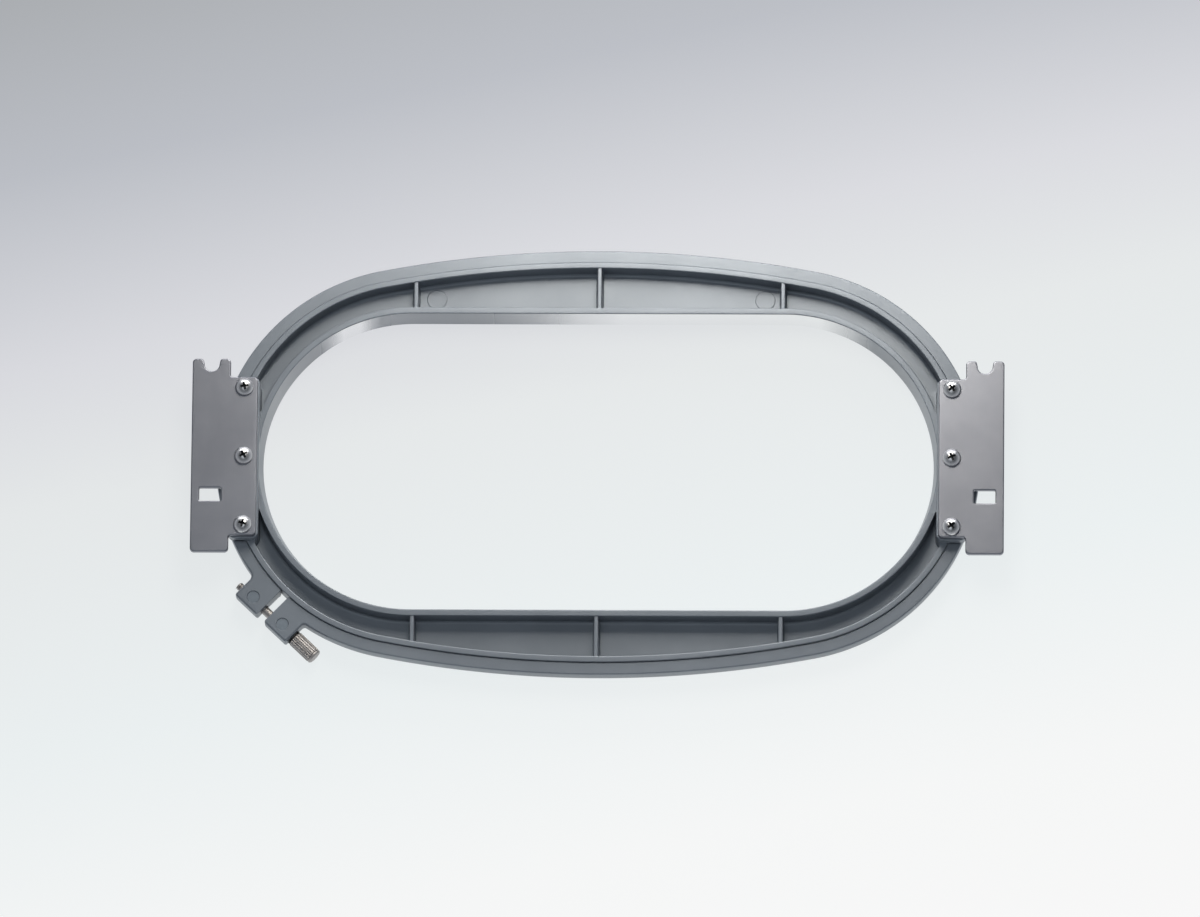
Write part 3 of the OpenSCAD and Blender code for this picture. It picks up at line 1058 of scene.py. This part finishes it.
    def paint_opening_glints(self) -> None:
        """Paints highlights on the opening's wall, strongest along the far side: near white colour, more
        metal and less roughness.
        """
        finish = Finishes.MOULDED_ABS_CORE.value
        tree = finish.material().node_tree
        place = tree.nodes["Texture Coordinate"].outputs["Object"]
        half = self.plan.field_h / 2
        straight = (self.plan.field_w / 2 - half) * MM
        reach: Any = place
        for operation, by in (("ABSOLUTE", (0, 0, 0)), ("SUBTRACT", (straight, 0, 0)), ("MAXIMUM", (0, 0, 0)),
                              ("MULTIPLY", (1, 1, 0)), ("LENGTH", (0, 0, 0))):
            reach = add_node(tree, "ShaderNodeVectorMath", [reach, by], operation=operation)
        on_wall = add_node(tree, "ShaderNodeMath", [reach, (half + 0.04) * MM], operation="LESS_THAN")
        spot = add_node(tree, "ShaderNodeSeparateXYZ", [place]).outputs
        far, along = (
            add_node(tree, "ShaderNodeMapRange", {"Value": spot[axis], "From Min": low, "From Max": high})
            for axis, low, high in (("Y", 0.0, 0.03), ("X", -0.15, 0.15)))
        ramp = set_stops(add_node(tree, "ShaderNodeValToRGB", [along]),
                         [((x + 150) / 300, (share, share, share, 1)) for x, share in self.gloss])
        gloss: Any = on_wall
        for factor in (far, ramp):
            gloss = add_node(tree, "ShaderNodeMath", [gloss, factor], operation="MULTIPLY")
        sockets = tree.nodes["Principled BSDF"].inputs
        satin = {name: sockets[name].links[0].from_socket for name in ("Base Color", "Roughness")}
        fine = add_node(tree, "ShaderNodeMath", [gloss, -0.2, finish.roughness], operation="MULTIPLY_ADD")
        # Painted highlight: near white colour and more metal where the gloss share is high
        polished = {
            "Base Color": add_node(tree, "ShaderNodeMix", {
                "Factor": gloss, "A": satin["Base Color"], "B": linear("#fdfdfd")}, data_type="RGBA"),
            "Metallic": add_node(tree, "ShaderNodeMath", [gloss, finish.metallic], operation="MAXIMUM"),
            "Roughness": add_node(tree, "ShaderNodeMix", {
                "Factor": on_wall, "A": satin["Roughness"], "B": fine})}
        for name, node in polished.items():
            tree.links.new(result(node), sockets[name])
        # The opening's wall, where highlights are painted, has no grain
        plain = add_node(tree, "ShaderNodeMath", [1.0, on_wall], operation="SUBTRACT")
        tree.links.new(result(plain), tree.nodes["Bump"].inputs["Strength"])


class Side(Enum):
    """The two ends of the hoop."""

    LEFT = -1
    RIGHT = 1


@dataclass
class Arm:
    """Stamped steel arm with a round notch, a slot and holes for its screws.

    Attributes:
        side: End of the hoop that it sits on.
        inner: Distance of its inner edge from the middle.
        outer: Distance of its outer edge from the middle.
        bottom: Height of its underside.
        thick: Thickness of the sheet.
        seat_l: Length along Y of the part on the pad.
        tab_y: Lowest and highest Y of the outer tab.
        tab_w: Width of the outer tab.
        corner_r: Corner radius.
        holder_x: Distance of the notch and the slot from the middle.
        notch_w: Width of the notch.
        notch_d: Depth of the notch.
        notch_lead: Lead in at its mouth.
        slot_w: Length of the slot along X.
        slot_h: Width of the slot along Y.
        slot_y: Distance of the slot from the middle, along -Y.
        slot_r: Corner radius of the slot.
        screw_x: Distance of the screws from the middle.
        screw_pitch: Distance between neighbouring screws.
        hole_d: Diameter of the screw holes.
        edge_r: Radius of the upper edge that the punch rolls over.
        foot_r: Radius of the lower edge.
        inner_r: How far the round of the corner between seat and tab goes along its sides.
    """

    side: Side
    inner: float = 150.9
    outer: float = 180.0
    bottom: float = 16.5
    thick: float = 2.5
    seat_l: float = 72.6
    tab_y: Point = (-43.9, 44.7)
    tab_w: float = 17.0
    corner_r: float = 1.8
    holder_x: float = 171.4
    notch_w: float = 6.6
    notch_d: float = 5.8
    notch_lead: float = 0.5
    slot_w: float = 9.6
    slot_h: float = 6.1
    slot_y: float = 17.6
    slot_r: float = 0.6
    screw_x: float = 156.8
    screw_pitch: float = 31.5
    hole_d: float = 4.6
    edge_r: float = 0.55
    foot_r: float = 0.15
    inner_r: float = 1.1

    def outlines(self) -> list[Outline]:
        """Returns the borders of the right-hand sheet, material on their left."""
        tab = self.outer - self.tab_w
        adds = [rectangle((self.inner, -self.seat_l / 2), (tab + self.corner_r * 2, self.seat_l / 2),
                          self.corner_r),
                rectangle((tab, self.tab_y[0]), (self.outer, self.tab_y[1]), self.corner_r)]
        x, top, half = self.holder_x, self.tab_y[1], self.notch_w / 2
        deep, mouth = top - self.notch_d + half, half + self.notch_lead
        notch = [circle((x, deep), half), rectangle((x - half, deep), (x + half, top + 1)),
                 np.array([(x - half, deep), (x + half, deep), (x + mouth, top), (x + mouth, top + 1),
                           (x - mouth, top + 1), (x - mouth, top)])]
        slot = rectangle((x - self.slot_w / 2, -self.slot_y - self.slot_h / 2),
                         (x + self.slot_w / 2, -self.slot_y + self.slot_h / 2), self.slot_r)
        holes = [circle((self.screw_x, row * self.screw_pitch), self.hole_d / 2) for row in (-1, 0, 1)]
        loops = combine(adds, notch + [slot] + holes)
        return [soften(loops[0], even(self.inner_r))] + loops[1:]

    def build(self) -> None:
        """Builds the arm and hands it over."""
        shell = Shell()
        profile = edge(self.foot_r, self.bottom, False, 2)
        profile += edge(self.edge_r, self.bottom + self.thick, True, 5)
        rims = []
        for loop in self.outlines():
            if self.side is Side.LEFT:
                loop = (loop * (-1, 1))[::-1]
            rims.append(shell.wall(loop, profile))
        shell.cap([low for low, _ in rims], up=False)
        shell.cap([high for _, high in rims])
        node = self.side.name.lower() + "_arm"
        piece = shade(new_object(node + "_plate", shell.mesh(node + "_plate")))
        hand_over(piece, "inner_ring_body", [node], Finishes.SATIN_STAINLESS)


@dataclass
class ArmScrews:
    """Six pan head screws with cross recesses.

    Attributes:
        x: Distance of the screws from the middle.
        pitch: Distance between neighbouring screws.
        seat_z: Height of the arms' upper faces.
        head_d: Diameter of a head.
        head_h: Height of a head.
        wall_share: Share of the head's height that its side wall takes.
        shank_d: Diameter of the shank.
        shank_l: Length of the shank.
        cross_w: Width over the cross recess.
        cross_t: Width of one wing of the recess.
        cross_d: Depth of the recess.
        turns: Angle of each cross, in degrees, left then right, from the top.
        cross_foot: Half length of the recess at its floor.
    """

    x: float = 156.8
    pitch: float = 31.5
    seat_z: float = 19.0
    head_d: float = 8.0
    head_h: float = 3.1
    wall_share: float = 0.3
    shank_d: float = 4.0
    shank_l: float = 8.0
    cross_w: float = 4.4
    cross_t: float = 1.1
    cross_d: float = 2.5
    turns: tuple[float, ...] = (12, 30, 75, 38, 22, 34)
    cross_foot: float = 0.45

    @property
    def dome_r(self) -> float:
        """Radius of a head's dome."""
        cap, half = self.head_h * (1 - self.wall_share), self.head_d / 2
        return (half ** 2 + cap ** 2) / (2 * cap)

    def screw(self) -> bpy.types.Mesh:
        """Returns one screw with its head's seat at the origin, in metres."""
        wall, half, shank = self.head_h * self.wall_share, self.head_d / 2, self.shank_d / 2
        centre, limit = self.head_h - self.dome_r, math.asin(half / self.dome_r)
        profile = [(shank - 0.3, -self.shank_l), (shank, 0.4 - self.shank_l), (shank, 0), (half - 0.25, 0),
                   (half - 0.06, 0.08), (half, 0.28), (half, wall - 0.25)]
        # The dome sinks a little towards its rim, as tumbled heads do
        profile += [(self.dome_r * math.sin(a) * (1 - 0.012 * (a / limit) ** 8),
                     centre + self.dome_r * math.cos(a)) for a in np.linspace(limit * 0.97, limit * 0.04, 14)]
        piece = new_object("screw", revolved("screw", profile, Matrix.Identity(4), 80))
        for turn in (0, 90):
            cut(piece, self.wing(turn))
        low = self.head_h - self.cross_d
        socket = [(0.1, low - 0.2), (0.75, low + 0.9), (0.95, self.head_h + 0.5)]
        cut(piece, revolved("socket", socket, Matrix.Identity(4), 24))
        mesh = shade(piece, 28).data
        bpy.data.objects.remove(piece)
        return mesh

    def wing(self, turn: float) -> bpy.types.Mesh:
        """Returns the tapered cutter of one pair of wings of the recess."""
        shell = Shell()
        for r, t, z in ((self.cross_foot, self.cross_t / 2 - 0.3, self.head_h - self.cross_d),
                        (self.cross_w / 2 + 0.2, self.cross_t / 2 + 0.05, self.head_h + 0.5)):
            shell.points += [(-r, -t, z), (r, -t, z), (r, t, z), (-r, t, z)]
        shell.faces = [(i, (i + 1) % 4, 4 + (i + 1) % 4, 4 + i) for i in range(4)]
        shell.faces += [(3, 2, 1, 0), (4, 5, 6, 7)]
        return shell.mesh("wing", Matrix.Rotation(math.radians(turn), 4, "Z"))

    def build(self) -> None:
        """Builds the screws and hands them over."""
        places = [(side * self.x, row * self.pitch, self.seat_z) for side in (-1, 1) for row in (1, 0, -1)]
        copies = [Copy(place, turn) for place, turn in zip(places, self.turns)]
        piece = repeat("arm_screws", self.screw(), copies, Finishes.POLISHED_STAINLESS)
        hand_over(piece, "inner_ring_body", six("arm_screw"), Finishes.POLISHED_STAINLESS)
        # Paints shade into the cross recesses
        self.paint_recess_shade(piece)

    def paint_recess_shade(self, piece: bpy.types.Object) -> None:
        """Gives the faces inside the cross recesses a dark finish: painted shade."""
        piece.data.materials.append(Finishes.PUNCHED_RECESS.value.material())
        for face in piece.data.polygons:
            x, y, z = (value / MM for value in face.center)
            row = max(-1, min(1, round(y / self.pitch)))
            r = math.hypot(abs(x) - self.x, y - row * self.pitch)
            if r < self.head_d / 2 - 1 and z > self.seat_z:
                dome = self.seat_z + self.head_h - self.dome_r + math.sqrt(self.dome_r ** 2 - r ** 2)
                # Faces sunk below the dome get the dark finish of painted shade
                face.material_index = int(dome - z > 0.1)


@dataclass
class TensionScrew:
    """Tension screw with its knurled knob, turned in one piece.

    Attributes:
        plan: Outlines of the hoop.
        tip: Place of the tip along the axis, from the middle of the split.
        thread_end: Place where the thread ends.
        knob: Place where the knob starts.
        shank_d: Diameter over the thread.
        pitch: Pitch of the thread.
        knob_d: Diameter over the knurl.
        knob_l: Length of the knob.
        chamfer: Chamfer of the knob's ends.
        collar: Length of the smooth end of the knob.
        ridges: Number of knurl ridges.
        knurl: Depth of the knurl.
        root: Depth of the thread.
        tooth: Width of the thread's ridge at its foot and at its crest, and its height.
    """

    plan: HoopPlan
    tip: float = -18.55
    thread_end: float = -3.0
    knob: float = 16.35
    shank_d: float = 4.0
    pitch: float = 0.7
    knob_d: float = 7.2
    knob_l: float = 12.7
    chamfer: float = 0.6
    collar: float = 0.9
    ridges: int = 20
    knurl: float = 0.3
    root: float = 0.4
    tooth: Place = (0.62, 0.12, 0.7)

    def shank(self) -> bpy.types.Mesh:
        """Returns the shank with its chamfered tip, in metres."""
        r, root, tip = self.shank_d / 2 - 0.03, self.shank_d / 2 - self.root, 0.45
        profile = [(root - tip, self.tip), (root, self.tip + tip), (root, self.thread_end),
                   (r, self.thread_end + 0.4), (r, self.knob + 0.3)]
        return revolved("shank", profile, self.plan.on_axis(0))

    def thread(self) -> bpy.types.Object:
        """Returns the thread as a ridge wound on the shank."""
        shape = NodeShape("screw_thread")
        length = self.thread_end - self.tip - 0.6
        radius = shape.size("Root radius", (self.shank_d / 2 - self.root - 0.02) * MM)
        coil = shape.add("GeometryNodeCurveSpiral", {
            "Resolution": 28, "Rotations": shape.size("Turns", length / self.pitch), "Start Radius": radius,
            "End Radius": radius, "Height": shape.size("Length", length * MM)})
        foot, crest, height = (shape.size(name, value * MM) for name, value in zip(
            ("Foot width", "Crest width", "Ridge height"), self.tooth))
        tooth = shape.add("GeometryNodeCurvePrimitiveQuadrilateral", {
            "Bottom Width": foot, "Top Width": crest, "Height": height, "Offset": 0.0}, mode="TRAPEZOID")
        upright = shape.add("GeometryNodeTransform", {"Geometry": tooth, "Rotation": (0, 0, math.pi / 2)})
        ridge = shape.add("GeometryNodeCurveToMesh", {
            "Curve": coil, "Profile Curve": upright, "Fill Caps": True})
        return shape.build("thread", bpy.data.meshes.new("thread"), ridge, Finishes.NICKEL_PLATE)

    def knurled_knob(self) -> bpy.types.Object:
        """Returns the knob: a grooved section drawn along the axis, narrowed at its chamfers."""
        shape = NodeShape("straight_knurl")
        length = shape.size("Length", (self.knob_l - self.collar) * MM)
        section = shape.add("GeometryNodeCurvePrimitiveCircle", {
            "Resolution": shape.size("Section points", 4 * self.ridges, "NodeSocketInt"),
            "Radius": shape.size("Radius", self.knob_d / 2 * MM)})
        # Every fourth point of the section is drawn in, which leaves flat lands between narrow grooves
        place = shape.add("GeometryNodeInputPosition")
        drawn_in = shape.add("ShaderNodeVectorMath", {
            0: place, "Scale": shape.size("Groove share", 1 - 2 * self.knurl / self.knob_d)},
            operation="SCALE")
        fourth = shape.add("ShaderNodeMath", [shape.add("GeometryNodeInputIndex"), 4.0], operation="MODULO")
        grooved = shape.add("GeometryNodeSetPosition", {
            "Geometry": section, "Position": drawn_in,
            "Selection": shape.add("ShaderNodeMath", [fourth, 0.0, 0.1], operation="COMPARE")})
        line = shape.add("GeometryNodeCurvePrimitiveLine", {
            "End": shape.add("ShaderNodeCombineXYZ", {"Z": length})})
        steps = shape.add("GeometryNodeResampleCurve", {"Curve": line, "Count": 60})
        z = shape.add("ShaderNodeSeparateXYZ", [place]).outputs["Z"]
        left = shape.add("ShaderNodeMath", [length, z], operation="SUBTRACT")
        share = shape.add("ShaderNodeMapRange", {
            "Value": shape.add("ShaderNodeMath", [z, left], operation="MINIMUM"), "From Min": 0.0,
            "From Max": shape.size("Chamfer", self.chamfer * MM), "To Max": 1.0,
            "To Min": shape.size("End share", 1 - 2 * self.chamfer / self.knob_d)})
        body = shape.add("GeometryNodeCurveToMesh", {
            "Curve": shape.add("GeometryNodeSetCurveRadius", {"Curve": steps, "Radius": share}),
            "Profile Curve": grooved, "Scale": share, "Fill Caps": True})
        return shape.build("knob", bpy.data.meshes.new("knob"), body, Finishes.NICKEL_PLATE)

    def build(self) -> None:
        """Builds the screw and hands it over."""
        scale = Matrix.Scale(MM, 4)
        mesh = bmesh.new()
        mesh.from_mesh(self.shank())
        for part, along in ((self.thread(), self.tip + 0.3), (self.knurled_knob(), self.knob)):
            place = self.plan.on_axis(along)
            part.data.transform(scale @ place @ scale.inverted())
            mesh.from_mesh(part.data)
            bpy.data.objects.remove(part)
        r, end, start = self.knob_d / 2, self.knob_l, self.knob_l - self.collar
        core = r - self.knurl - 0.1
        collar = [(core, start - 1), (core, start), (r - 0.12, start + 0.1), (r - 0.06, end - self.chamfer),
                  (r - self.chamfer + 0.1, end - 0.05), (r - self.chamfer - 0.1, end)]
        mesh.from_mesh(revolved("collar", collar, self.plan.on_axis(self.knob)))
        bmesh.ops.recalc_face_normals(mesh, faces=mesh.faces)
        piece = new_object("tension_screw_turning", bpy.data.meshes.new("tension_screw_turning"))
        mesh.to_mesh(piece.data)
        mesh.free()
        shade(piece, 30)
        hand_over(piece, "screw_body", ["tension_screw"], Finishes.NICKEL_PLATE)


@dataclass
class CarriedPieces:
    """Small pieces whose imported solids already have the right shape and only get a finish."""

    finishes: dict[str, Finishes] = field(default_factory=lambda: {
        "thrust_washer": Finishes.BLACK_NYLON, "barrel_nut": Finishes.DULL_ZINC,
        "pivot_barrel": Finishes.DULL_ZINC, **dict.fromkeys(six("insert"), Finishes.TURNED_BRASS)})

    def build(self, nodes: dict[str, bpy.types.Object]) -> None:
        """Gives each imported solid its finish."""
        for name, finish in self.finishes.items():
            nodes[name].data.materials.clear()
            nodes[name].data.materials.append(finish.value.material())
            LOG.info("%s: packed solid in %s", name, finish.value.name)


@dataclass
class Studio:
    """Table, lamps and camera.

    Attributes:
        distance: Distance of the camera, in m.
        tilt: Angle of the view from straight down, towards -Y, in degrees.
        yaw: Angle of the view towards +X, in degrees.
        roll: Turn about the view, in degrees.
        lens: Focal length on a sensor 36 mm wide, in mm.
        target: Point in the middle of the picture, in m.
        reach: Distance of the table's sides from its middle, in m.
        paper: Colours of the table from its far side to its near side.
    """

    distance: float = 8.0
    tilt: float = 15.5
    yaw: float = 1.55
    roll: float = 0.61
    lens: float = 541.7
    target: Place = (0.00094, 0.00136, 0.0115)
    reach: float = 30.0
    paper: tuple[tuple[float, str], ...] = (
        (0.0, "#acafb3"), (0.16, "#bdc0c7"), (0.33, "#dcdde2"), (0.45, "#e8ebec"), (0.66, "#eff4f5"),
        (0.85, "#fafbfb"), (1.0, "#fdfdfd"))

    def camera(self) -> None:
        """Creates the camera at the photograph's viewing angle."""
        tilt, yaw, roll = (math.radians(a) for a in (self.tilt, self.yaw, self.roll))
        back = Vector((math.sin(yaw) * math.cos(tilt), -math.sin(tilt), math.cos(yaw) * math.cos(tilt)))
        back.normalize()
        right = Vector((0, 1, 0)).cross(back).normalized()
        up = back.cross(right)
        turned = right * math.cos(roll) + up * math.sin(roll)
        upright = up * math.cos(roll) - right * math.sin(roll)
        data = bpy.data.cameras.new("camera")
        data.lens, data.sensor_width, data.clip_end = self.lens, 36, 100
        camera = bpy.data.objects.new("camera", data)
        pose = Matrix((turned, upright, back)).transposed().to_4x4()
        pose.translation = Vector(self.target) + back * self.distance
        camera.matrix_world = pose
        bpy.context.scene.collection.objects.link(camera)
        bpy.context.scene.camera = camera

    def lamp(self, name: str, place: Place, size: Point, watts: float, aim: Place = (0, 0, 0),
             tint: Place = (1, 1, 1)) -> None:
        """Adds a soft rectangular lamp that the camera doesn't see.

        Args:
            name: Name of the lamp.
            place: Its middle, in m.
            size: Its two sides, in m.
            watts: Its power.
            aim: Point that it faces, in m.
            tint: Its colour.
        """
        data = bpy.data.lights.new(name, "AREA")
        data.shape, data.size, data.size_y, data.energy = "RECTANGLE", size[0], size[1], watts
        data.color = tint
        lamp = bpy.data.objects.new(name, data)
        lamp.location = place
        lamp.rotation_euler = (Vector(aim) - Vector(place)).to_track_quat("-Z", "Y").to_euler()
        lamp.visible_camera = False
        bpy.context.scene.collection.objects.link(lamp)

    def table(self) -> None:
        """Adds the pale table: it shows its own soft gradient to the camera and still takes shadows."""
        mesh = bpy.data.meshes.new("table")
        square = [(x * self.reach, y * self.reach, 0) for x, y in ((-1, -1), (1, -1), (1, 1), (-1, 1))]
        mesh.from_pydata(square, [], [(0, 1, 2, 3)])
        table = new_object("table", mesh)
        material = bpy.data.materials.new("pale_seamless_paper")
        material.use_nodes = True
        tree = material.node_tree
        tree.nodes.clear()
        place = add_node(tree, "ShaderNodeTexCoord").outputs["Object"]
        across = add_node(tree, "ShaderNodeVectorMath", [place, (0.22, -0.963, 0.0)], operation="DOT_PRODUCT")
        fade = add_node(tree, "ShaderNodeMapRange", {"Value": across, "From Min": -0.27, "From Max": 0.25})
        ramp = set_stops(add_node(tree, "ShaderNodeValToRGB", [fade]),
                         [(position, linear(code)) for position, code in self.paper])
        glow = add_node(tree, "ShaderNodeEmission", {"Color": ramp, "Strength": 1.0})
        paper = add_node(tree, "ShaderNodeBsdfDiffuse", {"Color": ramp, "Roughness": 0.6})
        seen = add_node(tree, "ShaderNodeMixShader", [0.9, paper, glow])
        rays = add_node(tree, "ShaderNodeLightPath").outputs
        direct: Any = rays["Is Camera Ray"]
        for kind in ("Is Glossy Ray", "Is Transmission Ray"):
            direct = add_node(tree, "ShaderNodeMath", [direct, rays[kind]], operation="MAXIMUM")
        mix = add_node(tree, "ShaderNodeMixShader", [direct, paper, seen])
        add_node(tree, "ShaderNodeOutputMaterial", {"Surface": mix})
        mesh.materials.append(material)
        table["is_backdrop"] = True

    def world(self) -> None:
        """Adds a room with pale walls under a dark ceiling, which shows the camera a pale wall."""
        world = bpy.data.worlds.new("room")
        world.use_nodes = True
        tree = world.node_tree
        tree.nodes.clear()
        way = add_node(tree, "ShaderNodeTexCoord").outputs["Generated"]
        height = add_node(tree, "ShaderNodeSeparateXYZ", [way]).outputs["Z"]
        rise = add_node(tree, "ShaderNodeMapRange", {"Value": height, "From Min": 0.15, "From Max": 0.85},
                        interpolation_type="SMOOTHSTEP")
        walls = add_node(tree, "ShaderNodeMix", {
            "Factor": rise, "A": linear("#a9adb2"), "B": linear("#3c4045")}, data_type="RGBA")
        room = add_node(tree, "ShaderNodeBackground", {"Color": walls, "Strength": 1.0})
        wall = add_node(tree, "ShaderNodeBackground", {"Color": linear("#c9cbce"), "Strength": 1.0})
        rays = add_node(tree, "ShaderNodeLightPath").outputs
        mix = add_node(tree, "ShaderNodeMixShader", [rays["Is Camera Ray"], room, wall])
        add_node(tree, "ShaderNodeOutputWorld", {"Surface": mix})
        bpy.context.scene.world = world

    def build(self) -> None:
        """Sets up the studio."""
        self.camera()
        self.world()
        self.table()
        self.lamp("near_softbox", (0.033, 0.375, 0.5), (0.26, 0.36), 2.5, (0.026, 0.09, 0), (1, 0.955, 0.87))
        self.lamp("top_fill", (-0.2, -0.3, 1.6), (1.2, 1.2), 3.4, (0, 0, 0), (0.9, 0.96, 1))
        self.lamp("back_strip", (0.0, 1.0, 0.36), (1.4, 0.22), 5.5)
        bpy.context.scene.view_settings.view_transform = "Standard"


def corners() -> list[list[float]]:
    """Returns the whole object's box as plain lists."""
    return [[float(value) for value in corner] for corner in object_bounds()]


def main() -> None:
    """Builds the studio and every piece."""
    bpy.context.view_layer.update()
    logging.basicConfig(level=logging.INFO, format="%(name)s: %(message)s")
    plan = HoopPlan()
    Studio().build()
    OuterRing(plan).build()
    InnerRing(plan).build()
    for side in Side:
        Arm(side).build()
    ArmScrews().build()
    TensionScrew(plan).build()
    CarriedPieces().build(frame["nodes"])


if __name__ == "__main__":
    main()
